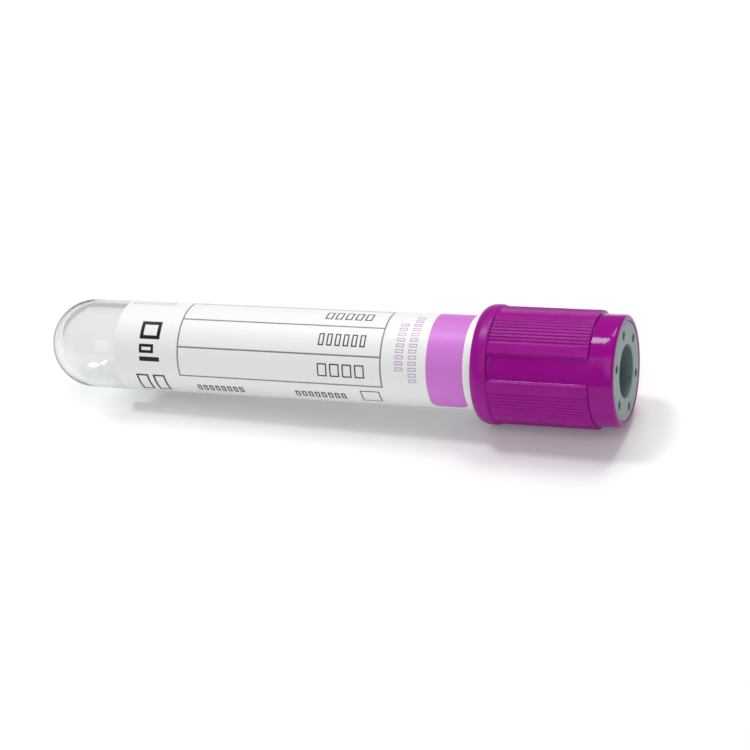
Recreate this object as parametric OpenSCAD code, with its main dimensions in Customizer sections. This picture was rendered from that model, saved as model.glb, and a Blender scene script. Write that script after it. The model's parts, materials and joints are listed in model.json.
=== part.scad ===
// Blood collection tube, 13 x 75 mm, closed with a rubber stopper in a ribbed safety cap.
// Each piece is drawn standing on its round end, with +Z along the axis towards the cap, and is then laid
// on its side: the round end points to -X and the cap to +X, and the collar and the round end touch z = 0.

/* [Tube] */
// Outer diameter of the tube
tube_d = 13; // [11:0.1:16]
// Length of the tube from the round end to the rim
tube_l = 75; // [60:1:100]
// Thickness of the wall at the rim
tube_wall = 0.95; // [0.7:0.05:1.3]
// How much narrower in radius the bore is at the round end than at the rim
bore_draft = 0.1; // [0:0.02:0.3]
// Thickness of the round end, on the axis
tube_base = 1.3; // [0.8:0.1:3]
// Diameter of the flat moulding gate mark on the round end
gate_d = 2.4; // [1:0.1:4]
// Rounding of the two edges of the rim
rim_round = 0.2; // [0.05:0.05:0.3]

/* [Label] */
// Thickness of the paper with its adhesive
label_t = 0.08; // [0.05:0.01:0.15]
// Width of the paper, measured around the tube
label_w = 20.5; // [15:0.5:33]
// Length of the paper along the tube
label_l = 54.5; // [30:0.5:58]
// How far the paper reaches up under the skirt of the cap
label_tuck = 0.15; // [0.05:0.05:1]
// Direction in which the middle of the paper faces, around the tube from straight down
label_facing = 224; // [0:1:359]
// Gap that keeps the paper off the wall
label_gap = 0.01; // [0.005:0.005:0.03]

/* [Stopper] */
// Length of the plug that goes into the tube
plug_l = 6; // [4:0.5:8]
// Radial clearance of the plug in the rim of the tube
plug_clear = 0.05; // [0.02:0.01:0.1]
// Height of the lead-in taper at the end of the plug
plug_lead = 0.8; // [0.3:0.1:1.5]
// How much the lead-in taper takes off the radius
plug_lead_in = 0.35; // [0.1:0.05:0.6]
// Radius of the hollow under the plug
hollow_r = 3.3; // [2:0.1:4]
// Depth of the hollow under the plug
hollow_depth = 7.2; // [4:0.1:8]
// Thickness of the flange that seats on the rim
flange_t = 2; // [1:0.1:3]
// Clearance between the flange and the rim of the tube
seat_gap = 0.02; // [0.01:0.01:0.05]
// Depth of the groove that holds the ring of the cap
neck_depth = 0.9; // [0.5:0.05:1.2]
// Height of the groove that holds the ring of the cap
neck_h = 1.6; // [1:0.1:2.5]
// Radius of the needle well in the face
well_r = 3.25; // [2:0.05:4]
// Depth of the needle well
well_depth = 5.5; // [3:0.1:7]
// Rounding of the mouth of the needle well
well_round = 0.3; // [0.1:0.05:0.6]
// Number of dimples in the face
dimple_n = 6; // [3:1:8]
// Diameter of a dimple
dimple_d = 1; // [0.6:0.1:1.4]
// Depth of a dimple
dimple_depth = 0.7; // [0.3:0.1:1.5]
// Radius of the ring of dimples
dimple_ring_r = 5.3; // [4.8:0.1:5.8]
// Direction of the first dimple, around the axis from straight down
dimple_facing = 237; // [0:1:359]

/* [Cap] */
// Length of the cap from its mouth to its nose
cap_l = 19.55; // [17:0.05:24]
// How far the skirt reaches down over the tube
skirt_l = 7.65; // [5:0.05:12]
// Radial clearance between the tube and the skirt
skirt_clear = 0.54; // [0.3:0.01:0.9]
// Wall of the cap where nothing is raised on it
cap_wall = 0.56; // [0.45:0.01:1]
// Radial clearance of the stopper in the cap
stopper_clear = 0.06; // [0.03:0.01:0.1]
// How far the face of the stopper lies below the nose of the cap
face_recess = 0.2; // [0.05:0.05:0.6]
// Radial and axial clearance of the ring of the cap in the groove of the stopper
ring_clear = 0.05; // [0.02:0.01:0.1]
// Rounding of the outer edge of the nose
nose_round = 0.32; // [0.1:0.01:0.35]
// Depth of the bevel at the mouth of the skirt
mouth_bevel = 0.2; // [0.1:0.05:0.25]

/* [Collar] */
// How far the collar stands out from the wall
collar_rise = 0.66; // [0.55:0.01:1.2]
// Length of the collar along the axis
collar_l = 2.35; // [2:0.05:4]
// Rounding of the collar towards the mouth
collar_round = 1.6; // [1.2:0.05:1.8]
// Rounding of the collar towards the panels
collar_top_round = 0.15; // [0.05:0.05:0.3]
// Thickness of the edge at the mouth
mouth_wall = 0.36; // [0.3:0.01:0.5]

/* [Grip panels] */
// Number of raised panels
panel_n = 3; // [2:1:4]
// How far a panel stands out from the wall
panel_rise = 0.45; // [0.3:0.01:0.5]
// Distance from the end of the panels to the nose
nose_l = 3.4; // [2:0.1:6]
// Bevel at the end of a panel
panel_bevel = 0.12; // [0.05:0.01:0.2]
// Width of the smooth recess between two panels, as an angle
recess_angle = 26.7; // [10:0.1:40]
// Number of ribbed zones on a panel
zone_n = 2; // [1:1:3]
// Number of grooves in a ribbed zone
groove_n = 8; // [3:1:9]
// Angle from one groove to the next
groove_pitch = 3.9; // [3:0.1:4]
// Width of a groove
groove_w = 0.26; // [0.15:0.01:0.35]
// Depth of a groove
groove_depth = 0.25; // [0.15:0.01:0.3]

/* [Hidden] */
$fn = 96;
// Overcut that keeps cutting faces apart
eps = 0.1;
// Finer roundness of small cuts, and radii of the tube
fn_small = 24;
tube_r = tube_d / 2;
bore_rim_r = tube_r - tube_wall;
bore_end_r = bore_rim_r - bore_draft;
gate_r = gate_d / 2;
// Radii of the cap
cap_bore_r = tube_r + skirt_clear;
nose_r = cap_bore_r + cap_wall;
panel_r = nose_r + panel_rise;
collar_r = nose_r + collar_rise;
mouth_r = cap_bore_r + mouth_wall;
// Heights along the axis, from the round end
mouth_z = tube_l - skirt_l;
nose_z = mouth_z + cap_l;
panel_end_z = nose_z - nose_l;
collar_end_z = mouth_z + collar_l;
// The big rounding of the collar is an arc that starts at the edge of the mouth
collar_arc_r = collar_r - collar_round;
collar_arc_z = mouth_z + sqrt(pow(collar_round, 2) - pow(mouth_r - collar_arc_r, 2));
// Radii and heights of the stopper
plug_r = bore_rim_r - plug_clear;
stopper_r = cap_bore_r - stopper_clear;
neck_r = stopper_r - neck_depth;
flange_z = tube_l + seat_gap;
neck_z = flange_z + flange_t;
head_z = neck_z + neck_h;
face_z = nose_z - face_recess;
plug_z = tube_l - plug_l;
// The ring of the cap runs in the groove of the stopper
ring_r = neck_r + ring_clear;
ring_z = neck_z + ring_clear;
ring_h = neck_h - 2 * ring_clear;
// The label is a strip bent round the tube
label_r = tube_r + label_gap;
label_span = label_w / label_r * 180 / PI;
label_z = mouth_z + label_tuck - label_l;
// Middle angle of each ribbed zone, from the middle of its panel
panel_angle = 360 / panel_n - recess_angle;
zone_angle = (groove_n - 1) * groove_pitch;
strip_angle = (panel_angle - zone_n * zone_angle) / (zone_n + 1);
// Lying down: the line under the part touches the ball of the round end and the arc of the collar
arc_dz = collar_arc_z - tube_r;
tilt = atan2(collar_arc_r, arc_dz) - asin((tube_r - collar_round) / norm([collar_arc_r, arc_dz]));
end_x = -gate_r * sin(tilt);
tip_x = (nose_z - nose_round) * cos(tilt) + (nose_r - nose_round) * sin(tilt) + nose_round;

// Lays a standing piece on its side, tilted so that the part rests on z = 0, centred in X
module lay_down() {
    translate([-(end_x + tip_x) / 2, 0, tube_r * (1 - sin(tilt))])
        rotate([0, 90 - tilt, 0])
            children();
}

// A plain ring: a band between two radii and two heights
module band(inner_r, outer_r, z, h) {
    rotate_extrude()
        translate([inner_r, z])
            square([outer_r - inner_r, h]);
}

// ---- Tube ----

// Section of the wall near the rim, with both edges rounded
module rim_section() {
    for (x = [bore_rim_r + rim_round, tube_r - rim_round])
        translate([x, tube_l - rim_round])
            circle(r = rim_round, $fn = fn_small);
    translate([bore_rim_r + rim_round, tube_l - 2 * rim_round])
        square([tube_wall - 2 * rim_round, 2 * rim_round]);
    translate([bore_rim_r - eps, tube_l - 2 * rim_round])
        square([tube_wall + eps, rim_round]);
}

module tube_bore() {
    bore_z = tube_base + bore_end_r;
    translate([0, 0, bore_z])
        sphere(r = bore_end_r);
    translate([0, 0, bore_z])
        cylinder(r1 = bore_end_r, r2 = bore_rim_r, h = tube_l - bore_z);
    translate([0, 0, tube_l - eps])
        cylinder(r = bore_rim_r, h = 2 * eps);
}

module tube() {
    color("aliceblue", 0.4)
    lay_down()
    difference() {
        union() {
            translate([0, 0, tube_r])
                sphere(r = tube_r);
            translate([0, 0, tube_r])
                cylinder(r = tube_r, h = tube_l - tube_r - 2 * rim_round);
            cylinder(r = gate_r, h = tube_r);
            rotate_extrude()
                rim_section();
        }
        tube_bore();
    }
}

// ---- Label ----

module label() {
    color("white")
    lay_down()
    rotate([0, 0, label_facing - label_span / 2])
        rotate_extrude(angle = label_span)
            translate([label_r, label_z])
                square([label_t, label_l]);
}

// ---- Stopper ----

// Cuts a rounded edge into the mouth of a hole of the given radius
module mouth_rounding(hole_r, round_r) {
    rotate_extrude()
        difference() {
            translate([hole_r - eps, -round_r])
                square([round_r + eps, round_r + eps]);
            translate([hole_r + round_r, -round_r])
                circle(r = round_r, $fn = fn_small);
        }
}

module dimples() {
    for (i = [0 : dimple_n - 1])
        rotate([0, 0, dimple_facing + i * 360 / dimple_n])
            translate([dimple_ring_r, 0, face_z - dimple_depth])
                cylinder(d = dimple_d, h = dimple_depth + eps, $fn = fn_small);
}

module stopper() {
    color("darkslategray")
    lay_down()
    difference() {
        union() {
            translate([0, 0, plug_z])
                cylinder(r1 = plug_r - plug_lead_in, r2 = plug_r, h = plug_lead);
            translate([0, 0, plug_z + plug_lead])
                cylinder(r = plug_r, h = flange_z - plug_z - plug_lead);
            translate([0, 0, flange_z])
                cylinder(r = stopper_r, h = flange_t);
            translate([0, 0, neck_z])
                cylinder(r = neck_r, h = neck_h);
            translate([0, 0, head_z])
                cylinder(r = stopper_r, h = face_z - head_z);
        }
        translate([0, 0, plug_z - eps])
            cylinder(r = hollow_r, h = hollow_depth + eps);
        translate([0, 0, face_z - well_depth])
            cylinder(r = well_r, h = well_depth + eps);
        translate([0, 0, face_z])
            mouth_rounding(well_r, well_round);
        dimples();
    }
}

// ---- Cap ----

// Section of the plain wall, from the mouth to the rounded edge of the nose
module wall_section() {
    translate([cap_bore_r, mouth_z + collar_l / 2])
        square([cap_wall, cap_l - collar_l / 2 - nose_round]);
    translate([cap_bore_r, nose_z - nose_round])
        square([cap_wall - nose_round, nose_round]);
    intersection() {
        translate([cap_bore_r, nose_z - nose_round])
            square([cap_wall, nose_round]);
        translate([nose_r - nose_round, nose_z - nose_round])
            circle(r = nose_round, $fn = fn_small);
    }
}

// Section of the collar: a wide arc from the mouth, a straight side and a small rounding
module collar_section() {
    intersection() {
        translate([cap_bore_r, mouth_z])
            square([collar_r - cap_bore_r, collar_arc_z - mouth_z]);
        translate([collar_arc_r, collar_arc_z])
            circle(r = collar_round);
    }
    translate([cap_bore_r, collar_arc_z])
        square([collar_r - cap_bore_r, collar_end_z - collar_top_round - collar_arc_z]);
    translate([cap_bore_r, collar_arc_z])
        square([collar_r - cap_bore_r - collar_top_round, collar_end_z - collar_arc_z]);
    translate([collar_r - collar_top_round, collar_end_z - collar_top_round])
        circle(r = collar_top_round, $fn = fn_small);
}

// Wedge centred on +X, which covers that angle of a disc of radius r
module wedge(angle, r) {
    half_w = r * tan(angle / 2);
    polygon([[0, 0], [r, -half_w], [r, half_w]]);
}

// Cross-section of a groove, open outwards and round at its floor
module groove() {
    floor_r = panel_r - groove_depth + groove_w / 2;
    translate([floor_r, 0])
        circle(d = groove_w, $fn = fn_small);
    translate([floor_r, -groove_w / 2])
        square([groove_depth, groove_w]);
}

// All the grooves of one panel, whose middle is on +X
module panel_grooves() {
    for (z = [0 : zone_n - 1])
        for (g = [0 : groove_n - 1])
            rotate(-panel_angle / 2 + strip_angle + z * (zone_angle + strip_angle) + g * groove_pitch)
                groove();
}

// Cross-section of the raised panels with the recesses between them
module panel_outline() {
    difference() {
        circle(r = panel_r);
        circle(r = cap_bore_r);
        for (i = [0 : panel_n - 1])
            rotate(i * 360 / panel_n) {
                wedge(recess_angle, panel_r + eps);
                rotate(180 / panel_n)
                    panel_grooves();
            }
    }
}

// Raised panels, bevelled where they end above the nose
module panels() {
    intersection() {
        translate([0, 0, collar_end_z - collar_top_round])
            linear_extrude(panel_end_z - collar_end_z + collar_top_round)
                panel_outline();
        union() {
            cylinder(r = panel_r + eps, h = panel_end_z - panel_bevel);
            translate([0, 0, panel_end_z - panel_bevel])
                cylinder(r1 = panel_r, r2 = panel_r - panel_bevel, h = panel_bevel);
        }
    }
}

module cap() {
    color("darkmagenta")
    lay_down()
    difference() {
        union() {
            rotate_extrude()
                wall_section();
            rotate_extrude()
                collar_section();
            panels();
            band(ring_r, cap_bore_r + cap_wall / 2, ring_z, ring_h);
        }
        translate([0, 0, mouth_z - mouth_bevel])
            cylinder(r1 = cap_bore_r + 2 * mouth_bevel, r2 = cap_bore_r, h = 2 * mouth_bevel);
    }
}

tube();
label();
stopper();
cap();
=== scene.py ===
"""Looks of the blood collection tube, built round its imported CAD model.

The four pieces are drawn standing on the round end, with +Z along the axis, in millimetres, from the sizes of
the CAD source and a few softer ones. lay_down() then puts them where the CAD model lies, in metres.
"""
import json
from math import acos, asin, atan2, cos, degrees, inf, pi, radians, sin, sqrt

import bmesh
import bpy
import numpy as np
from mathutils import Matrix, Vector


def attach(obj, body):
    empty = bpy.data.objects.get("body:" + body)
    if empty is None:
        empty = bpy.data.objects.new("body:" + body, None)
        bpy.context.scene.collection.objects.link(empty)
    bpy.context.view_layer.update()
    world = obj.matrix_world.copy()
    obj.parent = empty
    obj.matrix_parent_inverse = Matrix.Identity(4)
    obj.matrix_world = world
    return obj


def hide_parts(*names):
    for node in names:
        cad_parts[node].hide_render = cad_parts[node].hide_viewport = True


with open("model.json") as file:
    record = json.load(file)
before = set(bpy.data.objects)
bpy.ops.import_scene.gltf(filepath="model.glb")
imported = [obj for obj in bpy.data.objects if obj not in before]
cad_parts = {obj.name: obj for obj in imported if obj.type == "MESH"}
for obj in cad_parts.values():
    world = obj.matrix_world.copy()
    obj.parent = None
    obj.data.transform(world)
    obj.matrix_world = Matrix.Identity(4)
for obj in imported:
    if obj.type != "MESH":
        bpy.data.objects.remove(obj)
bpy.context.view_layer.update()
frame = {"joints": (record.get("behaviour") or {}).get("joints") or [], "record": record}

# ---- Sizes that are the CAD source's, in millimetres; angles in degrees ----
TUBE_R = 6.5
TUBE_L = 75.0
TUBE_WALL = 0.95
BORE_DRAFT = 0.1
TUBE_BASE = 1.3
GATE_R = 1.2
RIM_ROUND = 0.2

LABEL_T = 0.08
LABEL_W = 20.5
LABEL_L = 54.5
LABEL_TUCK = 0.15
LABEL_FACING = 224.0
LABEL_GAP = 0.01

PLUG_L = 6.0
PLUG_CLEAR = 0.05
PLUG_LEAD = 0.8
PLUG_LEAD_IN = 0.35
HOLLOW_R = 3.3
HOLLOW_DEPTH = 7.2
FLANGE_T = 2.0
SEAT_GAP = 0.02
NECK_DEPTH = 0.9
NECK_H = 1.6
WELL_DEPTH = 5.5
DIMPLE_N = 6
DIMPLE_DEPTH = 0.7
DIMPLE_RING_R = 5.3

CAP_L = 19.55
SKIRT_L = 7.65
SKIRT_CLEAR = 0.54
CAP_WALL = 0.56
STOPPER_CLEAR = 0.06
RING_CLEAR = 0.05
MOUTH_BEVEL = 0.2
PANEL_N = 3
NOSE_L = 3.4
PANEL_BEVEL = 0.12
RECESS_ANGLE = 26.7
ZONE_N = 2
GROOVE_N = 8
GROOVE_PITCH = 3.9

# ---- Sizes where the photograph shows a softer or finer form than the solids have ----
GATE_EDGE = 0.05
LABEL_CORNER = 1.0
RUBBER_EDGE = 0.06       # rounding of the rubber's small edges
WELL_R = 3.6
WELL_ROUND = 0.2
DIMPLE_R = 0.58
DIMPLE_FACING = 235.0
DIMPLE_EDGE = 0.08       # width of a dimple's rounded edge
FACE_R = 6.72
FACE_RECESS = 0.06
NOSE_ROUND = 0.45
NOSE_INNER_ROUND = 0.05
MOUTH_WALL = 0.71
COLLAR_RISE = 0.655      # a hair less than the CAD source's, as is PANEL_RISE, to stay inside its box
COLLAR_SIDE = 0.72       # length of the collar's straight side
COLLAR_ROUND = 1.8
COLLAR_TOP_ROUND = 0.4
COLLAR_OVER = 0.01       # how far the collar's shoulder stays outside the panels
COLLAR_FILLET = ((0.05, 0.02), (0.02, 0.07), (0.005, 0.14))      # outward and upward at the shoulder's foot
PANEL_RISE = 0.445
PANEL_EDGE = 0.28        # width of the rounded side of a panel
GROOVE_W = 0.24
GROOVE_DEPTH = 0.13
GROOVE_EDGE = 0.2        # width of the rounded side of a groove

# ---- Fineness of the meshes ----
TUBE_SIDES = 192
STOPPER_SIDES = 600
LABEL_COLUMNS = 97
LABEL_ROWS = 41
DIMPLE_REACH = 0.65      # half the width of the ring of fine mesh round the dimples, in millimetres
GUARD = 0.3              # distance from a corner to the row that keeps its shading tight, in millimetres
NOSE_GUARD = 0.2         # the same where the nose meets the panels
TURN_APART = 0.00005     # angles round the cap that are closer than this are one, in radians

# ---- Worked out from them, as in the CAD source ----
bore_rim_r = TUBE_R - TUBE_WALL
bore_end_r = bore_rim_r - BORE_DRAFT
cap_bore_r = TUBE_R + SKIRT_CLEAR
nose_r = cap_bore_r + CAP_WALL
panel_r = nose_r + PANEL_RISE
collar_r = nose_r + COLLAR_RISE
mouth_r = cap_bore_r + MOUTH_WALL
mouth_z = TUBE_L - SKIRT_L
nose_z = mouth_z + CAP_L
panel_end_z = nose_z - NOSE_L
collar_arc_r = collar_r - COLLAR_ROUND
collar_arc_z = mouth_z + sqrt(COLLAR_ROUND**2 - (mouth_r - collar_arc_r) ** 2)
collar_side_z = collar_arc_z + COLLAR_SIDE
collar_end_z = collar_side_z + COLLAR_TOP_ROUND
plug_r = bore_rim_r - PLUG_CLEAR
stopper_r = cap_bore_r - STOPPER_CLEAR
nose_bore_r = FACE_R + STOPPER_CLEAR
neck_r = stopper_r - NECK_DEPTH
flange_z = TUBE_L + SEAT_GAP
neck_z = flange_z + FLANGE_T
head_z = neck_z + NECK_H
face_z = nose_z - FACE_RECESS
well_z = face_z - WELL_DEPTH
plug_z = TUBE_L - PLUG_L
hollow_z = plug_z + HOLLOW_DEPTH
ring_r = neck_r + RING_CLEAR
ring_z = neck_z + RING_CLEAR
ring_end_z = head_z - RING_CLEAR
label_r = TUBE_R + LABEL_GAP
label_z = mouth_z + LABEL_TUCK - LABEL_L

# Angles round the cap, in radians
panel_step = 2 * pi / PANEL_N
panel_angle = radians(360 / PANEL_N - RECESS_ANGLE)
zone_angle = radians((GROOVE_N - 1) * GROOVE_PITCH)
strip_angle = (panel_angle - ZONE_N * zone_angle) / (ZONE_N + 1)

# ---- Where the part lies ----
MM = 0.001
WELL_MOUNT_Z = 83.9      # height of the needle well's mount above the round end, in millimetres
pull = next(j for j in frame["joints"] if j["name"] == "closure_pull")
well = next(m for m in frame["record"]["mounts"] if m["name"] == "needle_well")
axis = Vector(pull["axis"]).normalized()
round_end = Vector(well["pos_m"]) - axis * WELL_MOUNT_Z * MM
tilt = asin(axis.z)
down_side = Vector((sin(tilt), 0, -cos(tilt)))
back_side = Vector((0, 1, 0))


def lay_down(points):
    """Standing points in millimetres, as rows x, y, z, put where the part lies, in metres."""
    p = np.asarray(points, float).reshape(-1, 3)
    turned = np.outer(p[:, 0], down_side) + np.outer(p[:, 1], back_side) + np.outer(p[:, 2], axis)
    return turned * MM + np.array(round_end)


# ---- Mesh helpers ----
def link(thing):
    bpy.context.scene.collection.objects.link(thing)
    return thing


def arc(centre_r, centre_z, radius, start, end, steps):
    """Points (r, z) on an arc; angles in degrees from +r towards +z."""
    turns = np.radians(np.linspace(start, end, steps + 1))
    return [(centre_r + radius * cos(t), centre_z + radius * sin(t)) for t in turns]


def straight(start, end, steps):
    """Points (r, z) from start to end, both included."""
    return [tuple(p) for p in np.linspace(start, end, steps + 1)]


def lathe(profile, turns):
    """Rings of points at the given angles in radians, one ring for each (r, z) of the profile. r is one
    radius, or one for each angle."""
    return np.array([
        np.stack([r * np.cos(turns), r * np.sin(turns), np.full(len(turns), z)], axis=1) for r, z in profile
    ])


def ring_faces(rows, around, loop):
    """Faces between rings of points that close on themselves; with loop, the last ring joins the first."""
    faces = []
    for i in range(rows if loop else rows - 1):
        a = i * around
        b = (i + 1) % rows * around
        for k in range(around):
            n = (k + 1) % around
            faces.append((a + k, a + n, b + n, b + k))
    return faces


def add_piece(name, points, faces, material, sharp, print_mm=None):
    """A smooth piece through standing points, with sharp edges from an angle in degrees. print_mm is what
    each point keeps for the print."""
    mesh = bpy.data.meshes.new(name)
    mesh.from_pydata(lay_down(points).tolist(), [], faces)
    if print_mm is not None:
        kept = mesh.attributes.new("print_mm", "FLOAT_VECTOR", "POINT")
        kept.data.foreach_set("vector", print_mm.astype(np.float32).ravel())
    bm = bmesh.new()
    bm.from_mesh(mesh)
    bmesh.ops.remove_doubles(bm, verts=bm.verts, dist=1e-7)
    bmesh.ops.recalc_face_normals(bm, faces=bm.faces)
    bm.to_mesh(mesh)
    bm.free()
    mesh.polygons.foreach_set("use_smooth", [True] * len(mesh.polygons))
    mesh.set_sharp_from_angle(angle=radians(sharp))
    mesh.materials.append(material)
    return link(bpy.data.objects.new(name, mesh))


def soft_step(inside, width):
    """0 outside an edge and 1 inside it, from the distance inward; the rise is rounded over the width."""
    x = np.clip(inside / width + 0.5, 0, 1)
    return x * x * (3 - 2 * x)


# ---- Material helpers ----
class Graph:
    """Adds shader nodes to one material, or to the world; numbers and sockets can be mixed in its sums."""

    def __init__(self, name, world=False):
        self.material = (bpy.data.worlds if world else bpy.data.materials).new(name)
        self.material.use_nodes = True
        self.tree = self.material.node_tree
        self.tree.nodes.clear()
        self.output = self.node("ShaderNodeOutputWorld" if world else "ShaderNodeOutputMaterial")

    def node(self, kind, **settings):
        made = self.tree.nodes.new(kind)
        for key, value in settings.items():
            setattr(made, key, value)
        return made

    def put(self, value, socket):
        """Links a socket, or sets a plain value."""
        if isinstance(value, bpy.types.NodeSocket):
            self.tree.links.new(value, socket)
        else:
            socket.default_value = value

    def fill(self, node, **inputs):
        """Gives a node its inputs by name, with _ for a space."""
        for key, value in inputs.items():
            self.put(value, node.inputs[key.replace("_", " ")])
        return node

    def show(self, surface):
        self.put(surface, self.output.inputs["Surface"])

    def sum(self, operation, *values):
        n = self.node("ShaderNodeMath", operation=operation)
        for value, socket in zip(values, n.inputs):
            self.put(value, socket)
        return n.outputs[0]

    def greatest(self, first, *others):
        for other in others:
            first = self.sum("MAXIMUM", first, other)
        return first

    def blend(self, share, first, second):
        n = self.node("ShaderNodeMix", data_type="RGBA")
        return self.fill(n, Factor=share, A=first, B=second).outputs["Result"]

    def place(self):
        return self.node("ShaderNodeTexCoord").outputs["Object"]

    def noise(self, scale, detail):
        n = self.node("ShaderNodeTexNoise")
        return self.fill(n, Scale=scale, Detail=detail, Vector=self.place()).outputs["Fac"]

    def vector(self, operation, *values):
        n = self.node("ShaderNodeVectorMath", operation=operation)
        for value, socket in zip(values, n.inputs):
            self.put(value, socket)
        return n.outputs

    def from_axis(self):
        """Distance from the tube's axis, in metres."""
        apart = self.vector("SUBTRACT", self.place(), round_end)[0]
        across = self.vector("CROSS_PRODUCT", apart, axis)[0]
        return self.vector("LENGTH", across)["Value"]

    def ramp(self, value, low, high, out_low=0.0, out_high=1.0):
        n = self.node("ShaderNodeMapRange", clamp=True)
        self.fill(n, Value=value, From_Min=low, From_Max=high, To_Min=out_low, To_Max=out_high)
        return n.outputs["Result"]

    def bump(self, height, distance, strength):
        n = self.node("ShaderNodeBump")
        return self.fill(n, Height=height, Distance=distance, Strength=strength).outputs["Normal"]

    def principled(self, **inputs):
        shader = self.fill(self.node("ShaderNodeBsdfPrincipled"), **inputs).outputs[0]
        self.show(shader)
        return shader


def rgb(r, g, b):
    """A colour given as it looks on a screen, 0 to 255, as the linear colour that shaders take."""
    def linear(c):
        c /= 255
        return c / 12.92 if c <= 0.04045 else ((c + 0.055) / 1.055) ** 2.4
    return (linear(r), linear(g), linear(b), 1.0)


# ---- Tube ----
def clear_plastic():
    """Clear plastic that lets the light of the lamps and of the floor straight through."""
    g = Graph("clear_pet")
    shown = g.principled(
        Base_Color=(0.915, 0.925, 0.912, 1), IOR=1.44, Transmission_Weight=1.0, Roughness=0.06,
        Normal=g.bump(g.noise(260, detail=2), distance=0.00002, strength=0.25),
    )
    through = g.fill(g.node("ShaderNodeBsdfTransparent"), Color=(0.94, 0.95, 0.95, 1)).outputs[0]
    path = g.node("ShaderNodeLightPath")
    for ray in ("Is Diffuse Ray", "Is Shadow Ray"):
        mix = g.node("ShaderNodeMixShader")
        for value, socket in zip((path.outputs[ray], shown, through), mix.inputs):
            g.put(value, socket)
        shown = mix.outputs[0]
    g.show(shown)
    return g.material


def make_tube():
    turns = np.linspace(0, 2 * pi, TUBE_SIDES, endpoint=False)
    gate_turn = -degrees(acos(GATE_R / TUBE_R))
    bore_z = TUBE_BASE + bore_end_r
    rim_z = TUBE_L - RIM_ROUND
    profile = [(0.0, 0.0)]
    profile += straight((GATE_R / 3, 0), (GATE_R - GATE_EDGE, 0), 2)
    profile += [(GATE_R, GATE_EDGE)]
    profile += arc(0, TUBE_R, TUBE_R, gate_turn, 0, 40)
    profile += straight((TUBE_R, TUBE_R), (TUBE_R, rim_z), 40)[1:]
    profile += arc(TUBE_R - RIM_ROUND, rim_z, RIM_ROUND, 0, 90, 6)[1:]
    profile += arc(bore_rim_r + RIM_ROUND, rim_z, RIM_ROUND, 90, 180, 6)
    profile += straight((bore_rim_r, rim_z), (bore_end_r, bore_z), 40)[1:]
    profile += arc(0, bore_z, bore_end_r, 0, -90, 40)[1:-1]
    profile += [(0.0, TUBE_BASE)]
    faces = ring_faces(len(profile), TUBE_SIDES, loop=False)
    tube = add_piece("tube_wall", lathe(profile, turns), faces, clear_plastic(), sharp=50)
    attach(tube, "tube_body")
    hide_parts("tube")
    return tube


# ---- Label ----
def label_grid():
    """Places on the flat paper, by column and row: across it from its middle line, and up from the round end.
    The ends of the columns follow the rounded corners."""
    half = LABEL_W / 2
    corner = LABEL_CORNER * (1 - np.cos(np.linspace(0, pi / 2, 9)))
    middle = np.linspace(-half, half, LABEL_COLUMNS)[4:-4]
    across = np.unique(np.round(np.concatenate([-half + corner, middle, half - corner]), 6))
    inset = np.clip(LABEL_CORNER - (half - np.abs(across)), 0, LABEL_CORNER)
    cut = LABEL_CORNER - np.sqrt(LABEL_CORNER**2 - inset**2)
    low = label_z + cut
    high = label_z + LABEL_L - cut
    up = low[:, None] + (high - low)[:, None] * np.linspace(0, 1, LABEL_ROWS)
    return np.broadcast_to(across[:, None], up.shape), up


def sheet_faces(cols, rows):
    """Faces of a thin sheet whose inner points come first and whose outer points follow, column by column."""
    def index(side, i, k):
        return side * cols * rows + i * rows + k

    faces = []
    for i in range(cols - 1):
        for k in range(rows - 1):
            faces.append([index(1, i, k), index(1, i + 1, k), index(1, i + 1, k + 1), index(1, i, k + 1)])
            faces.append([index(0, i, k), index(0, i, k + 1), index(0, i + 1, k + 1), index(0, i + 1, k)])
    for i in range(cols - 1):
        for k in (0, rows - 1):
            faces.append([index(0, i, k), index(0, i + 1, k), index(1, i + 1, k), index(1, i, k)])
    for k in range(rows - 1):
        for i in (0, cols - 1):
            faces.append([index(0, i, k), index(0, i, k + 1), index(1, i, k + 1), index(1, i, k)])
    return faces


def make_label():
    """A strip of paper bent round the tube. Each point keeps for the print its place on the flat paper, in
    millimetres, and 1 if it is on the outside."""
    across, up = label_grid()
    turn = radians(LABEL_FACING) + across / label_r
    radii = (label_r, label_r + LABEL_T)
    sheets = [np.stack([r * np.cos(turn), r * np.sin(turn), up], axis=2) for r in radii]
    flat = [np.stack([across, up, np.full(up.shape, side)], axis=2) for side in (0, 1)]
    faces = sheet_faces(*up.shape)
    label = add_piece("paper_label", sheets, faces, label_paper(), sharp=35, print_mm=np.array(flat))
    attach(label, "tube_body")
    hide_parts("label")
    return label


# ---- Print on the label ----
# In millimetres: u runs across the paper from its middle line, and v up from the round end.
PRINT_EDGE = 0.05        # width over which the edge of the ink fades
FRAME_LINE = 0.22
FRAME_LOW, FRAME_HIGH = 23.15, 54.1
FRAME_SIDE = -7.2
FRAME_ROW = 4.28
FRAME_ROWS = 3
NAME_LOW, NAME_HIGH = 44.7, 51.7
NAMES = ((0.85, 5), (0.9, 6), (0.95, 4))       # half the width of each row's word, and its number of boxes
BAND_LOW, BAND_HIGH = 60.7, 65.95
BAND_INSET = 1.0
BAND_CORNER = 1.2


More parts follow.
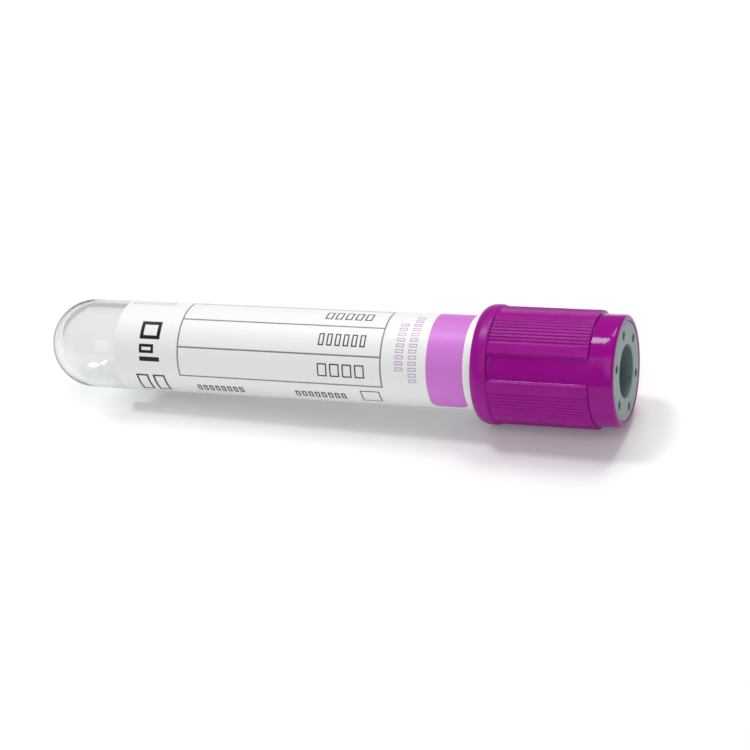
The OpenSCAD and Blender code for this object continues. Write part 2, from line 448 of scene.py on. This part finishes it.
class PrintGraph(Graph):
    """A graph that also draws on the label. A mask is 1 where there is ink."""

    def __init__(self, name):
        super().__init__(name)
        kept = self.node("ShaderNodeAttribute", attribute_name="print_mm").outputs["Vector"]
        parts = self.fill(self.node("ShaderNodeSeparateXYZ"), Vector=kept)
        self.u, self.v, self.outside = parts.outputs

    def off(self, value, low, high):
        """How far a place lies beyond the stretch from low to high; negative inside it."""
        from_middle = self.sum("ABSOLUTE", self.sum("SUBTRACT", value, (low + high) / 2))
        return self.sum("SUBTRACT", from_middle, (high - low) / 2)

    def inked(self, distance):
        """The mask of an outline, from the distance outside it."""
        return self.ramp(distance, -PRINT_EDGE / 2, PRINT_EDGE / 2, 1.0, 0.0)

    def box(self, u, v):
        """A filled box over the stretches u and v."""
        return self.inked(self.greatest(self.off(self.u, *u), self.off(self.v, *v)))

    def boxes(self, u, v, stroke, count=1, gap=0.0, along_u=False):
        """A row of equal hollow boxes over the stretches u and v, which stands in place of a word."""
        low, high = u if along_u else v
        pitch = (high - low + gap) / count
        start = self.sum("SUBTRACT", self.u if along_u else self.v, low - gap / 2)
        along = self.sum("SUBTRACT", gap / 2, self.sum("PINGPONG", start, pitch / 2))
        off_u = self.off(self.u, *u)
        off_v = self.off(self.v, *v)
        reach = self.greatest(along, off_v if along_u else off_u)
        from_line = self.sum("ABSOLUTE", self.sum("ADD", reach, stroke / 2))
        line = self.inked(self.sum("SUBTRACT", from_line, stroke / 2))
        return self.sum("MULTIPLY", line, self.inked(self.greatest(off_u, off_v)))

    def band(self):
        """The field of colour round the tube, with rounded corners."""
        side = LABEL_W / 2 - BAND_INSET - BAND_CORNER
        reach_u = self.greatest(self.off(self.u, -side, side), 0.0)
        reach_v = self.greatest(self.off(self.v, BAND_LOW + BAND_CORNER, BAND_HIGH - BAND_CORNER), 0.0)
        squares = [self.sum("MULTIPLY", reach, reach) for reach in (reach_u, reach_v)]
        from_corner = self.sum("SQRT", self.sum("ADD", *squares))
        return self.inked(self.sum("SUBTRACT", from_corner, BAND_CORNER))

    def frame_lines(self):
        """The frame of the form: lines along the tube, and one across at each end."""
        def stretch(low, high):
            return (low - FRAME_LINE / 2, high + FRAME_LINE / 2)

        far_side = FRAME_SIDE + FRAME_ROW * FRAME_ROWS
        sides = [FRAME_SIDE + FRAME_ROW * i for i in range(FRAME_ROWS + 1)]
        lines = [self.box(stretch(side, side), stretch(FRAME_LOW, FRAME_HIGH)) for side in sides]
        lines += [self.box((FRAME_SIDE, far_side), stretch(end, end)) for end in (FRAME_LOW, FRAME_HIGH)]
        return self.greatest(*lines)

    def field_names(self):
        """A word at the end of each row of the frame."""
        words = []
        for i, (half, count) in enumerate(NAMES):
            middle = FRAME_SIDE + FRAME_ROW * (i + 0.5)
            u = (middle - half, middle + half)
            words.append(self.boxes(u, (NAME_LOW, NAME_HIGH), stroke=0.2, count=count, gap=0.42))
        return self.greatest(*words)


def label_paper():
    g = PrintGraph("label_paper")
    dark = g.greatest(
        g.field_names(),
        g.boxes((6.5, 8.8), (50.6, 53.5), stroke=0.18),
        g.boxes((5.8, 9.3), (16.0, 20.6), stroke=0.3, count=2, gap=0.7),
    )
    bold = g.greatest(
        g.boxes((-2.2, 0.5), (17.0, 20.2), stroke=0.55),
        g.boxes((1.2, 2.5), (17.0, 19.3), stroke=0.42),
        g.box((3.02, 3.68), (17.0, 20.2)),
        g.boxes((7.3, 8.6), (25.3, 32.5), stroke=0.22, count=8, gap=0.3),
        g.boxes((7.3, 8.6), (40.6, 48.2), stroke=0.22, count=8, gap=0.3),
    )
    pale = g.greatest(
        g.boxes((-4.0, 3.1), (56.2, 57.4), stroke=0.16, count=9, gap=0.28, along_u=True),
        g.boxes((-5.7, 4.7), (58.1, 59.3), stroke=0.16, count=13, gap=0.28, along_u=True),
    )
    faint = g.boxes((-7.0, -5.9), (13.6, 20.5), stroke=0.2, count=8, gap=0.3)
    grey = rgb(82, 86, 82)

    speckle = g.ramp(g.noise(5200, detail=2), 0.35, 0.65)
    paper = g.blend(speckle, (0.9, 0.92, 0.895, 1), (0.92, 0.94, 0.915, 1))
    colour = g.blend(g.band(), paper, g.blend(speckle, rgb(211, 120, 217), rgb(216, 126, 221)))
    colour = g.blend(g.sum("MULTIPLY", pale, 0.85), colour, rgb(190, 150, 200))
    colour = g.blend(g.sum("MULTIPLY", faint, 0.35), colour, grey)
    colour = g.blend(g.sum("MULTIPLY", g.frame_lines(), 0.85), colour, grey)
    colour = g.blend(dark, colour, rgb(52, 54, 54))
    colour = g.blend(bold, colour, rgb(20, 20, 22))
    g.principled(
        Base_Color=g.blend(g.outside, paper, colour), Specular_IOR_Level=0.45,
        Roughness=g.ramp(g.noise(1800, detail=2), 0.3, 0.7, 0.38, 0.46),
        Normal=g.bump(g.noise(3600, detail=4), distance=0.00001, strength=0.35),
    )
    return g.material


# ---- Stopper ----
def butyl_rubber():
    g = Graph("butyl_rubber")
    cloud = g.ramp(g.noise(420, detail=4), 0.35, 0.7)
    g.principled(
        Base_Color=g.blend(cloud, rgb(107, 127, 126), rgb(115, 136, 135)), IOR=1.52, Specular_IOR_Level=0.6,
        Roughness=g.ramp(g.noise(900, detail=3), 0.3, 0.7, 0.42, 0.52),
        Sheen_Weight=0.4, Sheen_Roughness=0.4, Sheen_Tint=(0.8, 1.0, 0.96, 1),
        Normal=g.bump(g.noise(5200, detail=4), distance=0.000012, strength=0.4),
    )
    return g.material


def stopper_profile():
    """The stopper's section: down the hollow, round the plug, up to the face and into the well."""
    profile = [(0.0, hollow_z), (HOLLOW_R / 2, hollow_z)]
    profile += arc(HOLLOW_R - RUBBER_EDGE, hollow_z - RUBBER_EDGE, RUBBER_EDGE, 90, 0, 3)
    profile += straight((HOLLOW_R, hollow_z - RUBBER_EDGE), (HOLLOW_R, plug_z), 3)[1:]
    profile += [(plug_r - PLUG_LEAD_IN, plug_z), (plug_r, plug_z + PLUG_LEAD)]
    profile += [(plug_r, flange_z), (stopper_r, flange_z), (stopper_r, neck_z), (neck_r, neck_z)]
    profile += [(neck_r, head_z), (FACE_R, head_z), (FACE_R, (head_z + face_z) / 2)]
    profile += arc(FACE_R - RUBBER_EDGE, face_z - RUBBER_EDGE, RUBBER_EDGE, 0, 90, 4)
    fine_from, fine_to = DIMPLE_RING_R + DIMPLE_REACH, DIMPLE_RING_R - DIMPLE_REACH
    profile += straight((fine_from, face_z), (fine_to, face_z), 30)
    profile += arc(WELL_R + WELL_ROUND, face_z - WELL_ROUND, WELL_ROUND, 90, 180, 8)
    profile += straight((WELL_R, face_z - WELL_ROUND), (WELL_R, well_z + WELL_ROUND), 6)[1:]
    profile += arc(WELL_R - WELL_ROUND, well_z + WELL_ROUND, WELL_ROUND, 0, -90, 6)[1:]
    return profile + [(WELL_R / 2, well_z), (0.0, well_z)]


def make_stopper():
    """The stopper as one lathe, whose face is then pressed in at each dimple."""
    rings = lathe(stopper_profile(), np.linspace(0, 2 * pi, STOPPER_SIDES, endpoint=False))
    x, y, z = rings[:, :, 0], rings[:, :, 1], rings[:, :, 2]
    press = np.zeros(z.shape)
    for i in range(DIMPLE_N):
        t = radians(DIMPLE_FACING + i * 360 / DIMPLE_N)
        away = np.hypot(x - DIMPLE_RING_R * cos(t), y - DIMPLE_RING_R * sin(t))
        press = np.maximum(press, soft_step(DIMPLE_R - away, DIMPLE_EDGE))
    on_face = z > face_z - 1e-6
    rings[:, :, 2] -= np.where(on_face, press * DIMPLE_DEPTH, 0)
    faces = ring_faces(len(rings), STOPPER_SIDES, loop=False)
    stopper = add_piece("rubber_stopper", rings, faces, butyl_rubber(), sharp=40)
    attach(stopper, "closure")
    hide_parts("stopper")
    return stopper


# ---- Cap ----
GRIP_MATTE = 0.24                       # how much rougher the grip panels are than the cap's smooth parts
GRIP_FROM, GRIP_FULL = 0.15, 0.35       # heights above the nose between which that grows, in millimetres


def cap_plastic():
    g = Graph("cap_plastic")
    flow = g.ramp(g.noise(180, detail=3), 0.35, 0.7)
    grip = g.ramp(g.from_axis(), (nose_r + GRIP_FROM) * MM, (nose_r + GRIP_FULL) * MM)
    smooth = g.ramp(g.noise(700, detail=3), 0.3, 0.7, 0.07, 0.11)
    g.principled(
        Base_Color=g.blend(flow, rgb(152, 9, 138), rgb(160, 11, 145)), Specular_IOR_Level=0.2,
        Roughness=g.sum("MULTIPLY_ADD", grip, GRIP_MATTE, smooth),
        Normal=g.bump(g.noise(420, detail=2), distance=0.00004, strength=0.25),
    )
    return g.material


def groove_centres():
    """Angles of a panel's grooves from its middle, in radians."""
    first = -panel_angle / 2 + strip_angle
    zones = [first + z * (zone_angle + strip_angle) for z in range(ZONE_N)]
    return [zone + k * radians(GROOVE_PITCH) for zone in zones for k in range(GROOVE_N)]


def panel_turns():
    """Angles round the cap from the middle of a panel, in radians, close together where the surface bends."""
    half_step = 180 / PANEL_N
    spots = list(np.radians(np.arange(-half_step, half_step, 1.5)))
    side_bend = PANEL_EDGE * np.array([-0.5, -0.35, -0.2, 0.0, 0.2, 0.35, 0.5]) / panel_r
    for side in (-1, 1):
        spots += list(side * panel_angle / 2 + side_bend)
    groove_bend = (GROOVE_W / 2 + GROOVE_EDGE * np.array([-0.5, -0.3, 0.0, 0.3, 0.5])) / panel_r
    for centre in groove_centres():
        spots += [centre] + list(centre + groove_bend) + list(centre - groove_bend)
    spots = np.sort(spots)
    spots = spots[np.diff(spots, prepend=-inf) > TURN_APART]
    return np.concatenate([spots + panel_step * i for i in range(PANEL_N)])


def panel_surface(turns):
    """Outer radius at angles from the middle of a panel: rounded sides, and grooves in the ribbed zones."""
    from_middle = (turns + panel_step / 2) % panel_step - panel_step / 2
    inside = (panel_angle / 2 - np.abs(from_middle)) * panel_r
    dip = np.zeros_like(turns)
    for centre in groove_centres():
        away = np.abs(from_middle - centre) * panel_r
        dip = np.maximum(dip, soft_step(GROOVE_W / 2 - away, GROOVE_EDGE))
    return nose_r + soft_step(inside, PANEL_EDGE) * PANEL_RISE - dip * GROOVE_DEPTH


def cap_section(outer):
    """The cap's section as a closed loop: down the skirt's bore, up the outside, over the nose and back down
    to the inner ring. outer is the panels' radius at each angle."""
    mouth_turn = degrees(atan2(mouth_z - collar_arc_z, mouth_r - collar_arc_r))
    rows = [(cap_bore_r, ring_z - GUARD), (cap_bore_r, mouth_z + MOUTH_BEVEL)]
    rows += [(cap_bore_r + MOUTH_BEVEL, mouth_z)]
    rows += arc(collar_arc_r, collar_arc_z, COLLAR_ROUND, mouth_turn, 0, 16)
    rows += [(collar_r, collar_side_z)]
    for r, z in arc(collar_r - COLLAR_TOP_ROUND, collar_side_z, COLLAR_TOP_ROUND, 0, 90, 10)[1:]:
        rows += [(np.maximum(r, outer + COLLAR_OVER), z)]
    rows += [(outer + outward, collar_end_z + upward) for outward, upward in COLLAR_FILLET]
    rows += [(outer, z) for z in np.linspace(collar_end_z + GUARD, panel_end_z - PANEL_BEVEL, 8)]
    rows += [(np.minimum(outer, panel_r - PANEL_BEVEL / 3), panel_end_z - PANEL_BEVEL / 3)]
    rows += [(np.minimum(outer, panel_r - PANEL_BEVEL), panel_end_z)]
    rows += [(nose_r, panel_end_z)]
    rows += straight((nose_r, panel_end_z + NOSE_GUARD), (nose_r, nose_z - NOSE_ROUND), 3)
    rows += arc(nose_r - NOSE_ROUND, nose_z - NOSE_ROUND, NOSE_ROUND, 0, 90, 8)[1:]
    rows += arc(nose_bore_r + NOSE_INNER_ROUND, nose_z - NOSE_INNER_ROUND, NOSE_INNER_ROUND, 90, 180, 4)
    rows += [(nose_bore_r, ring_end_z + GUARD), (nose_bore_r, ring_end_z)]
    return rows + [(ring_r, ring_end_z), (ring_r, ring_z), (cap_bore_r, ring_z)]


def make_cap():
    turns = panel_turns()
    rows = cap_section(panel_surface(turns))
    rings = lathe(rows, turns + panel_step / 2)
    faces = ring_faces(len(rows), len(turns), loop=True)
    cap = add_piece("ribbed_cap", rings, faces, cap_plastic(), sharp=40)
    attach(cap, "closure")
    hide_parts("cap")
    return cap


# ---- Camera ----
LENS = 93.25
CAMERA_AT = (102.24, -211.44, 150.44)       # millimetres
LOOK_ALONG = (-0.34830, 0.77201, -0.53168)
CAMERA_ROLL = 8.777


def make_camera():
    data = bpy.data.cameras.new("camera")
    data.lens = LENS
    data.clip_start = 0.01
    camera = link(bpy.data.objects.new("camera", data))
    look = Vector(LOOK_ALONG).normalized()
    right = look.cross(Vector((0, 0, 1))).normalized()
    up = right.cross(look)
    turn = radians(CAMERA_ROLL)
    tilted_up = up * cos(turn) + right * sin(turn)
    tilted_right = look.cross(tilted_up)
    pose = Matrix((tilted_right, tilted_up, -look)).transposed().to_4x4()
    pose.translation = Vector(CAMERA_AT) * MM
    camera.matrix_world = pose
    bpy.context.scene.camera = camera


# ---- Floor and light ----
# What the rays see of the white room, next to the light that it gives: to the camera it is plain white.
ROOM_LIGHT = 0.36
ROOM_SEEN = {"Is Camera Ray": 1.0, "Is Glossy Ray": 0.2, "Is Transmission Ray": 0.9}
FLOOR_LIFT = {"Is Camera Ray": 0.08, "Is Glossy Ray": 0.0, "Is Transmission Ray": 0.0}
FLOOR_HALF = 3.0         # metres


def by_ray(g, plain, seen):
    """A number that is plain for light, and changes for the kinds of ray that seen names."""
    path = g.node("ShaderNodeLightPath")
    total = plain
    for kind, value in seen.items():
        total = g.sum("MULTIPLY_ADD", path.outputs[kind], value - plain, total)
    return total


def make_floor():
    g = Graph("floor_white")
    diffuse = g.fill(g.node("ShaderNodeBsdfDiffuse"), Color=(0.93, 0.93, 0.93, 1))
    glow = g.fill(g.node("ShaderNodeEmission"), Strength=by_ray(g, 0.0, FLOOR_LIFT))
    both = g.node("ShaderNodeAddShader")
    g.put(diffuse.outputs[0], both.inputs[0])
    g.put(glow.outputs[0], both.inputs[1])
    g.show(both.outputs[0])
    mesh = bpy.data.meshes.new("floor")
    corners = [(x * FLOOR_HALF, y * FLOOR_HALF, 0) for x, y in ((-1, -1), (1, -1), (1, 1), (-1, 1))]
    mesh.from_pydata(corners, [], [(0, 1, 2, 3)])
    mesh.materials.append(g.material)
    floor = link(bpy.data.objects.new("floor", mesh))


def area_light(name, at, size, power):
    """A square soft light that faces the part; place and size in metres, power in watts."""
    data = bpy.data.lights.new(name, "AREA")
    data.shape = "SQUARE"
    data.size = size
    data.energy = power
    lamp = link(bpy.data.objects.new(name, data))
    lamp.location = at
    lamp.rotation_euler = Vector(at).to_track_quat("Z", "Y").to_euler()


def make_light():
    g = Graph("white_room", world=True)
    bpy.context.scene.world = g.material
    g.show(g.fill(g.node("ShaderNodeBackground"), Strength=by_ray(g, ROOM_LIGHT, ROOM_SEEN)).outputs[0])
    area_light("key", at=(0.04, 0.26, 0.54), size=0.24, power=1.5)
    area_light("top", at=(-0.19, 0.06, 0.63), size=0.14, power=1.15)
    area_light("glint", at=(-0.19, 0.06, 0.62), size=0.04, power=0.16)
    area_light("front_fill", at=(0.1, -0.5, 0.45), size=0.5, power=1.15)


bpy.context.scene.view_settings.view_transform = "Standard"
make_camera()
make_floor()
make_light()
make_tube()
make_label()
make_stopper()
make_cap()
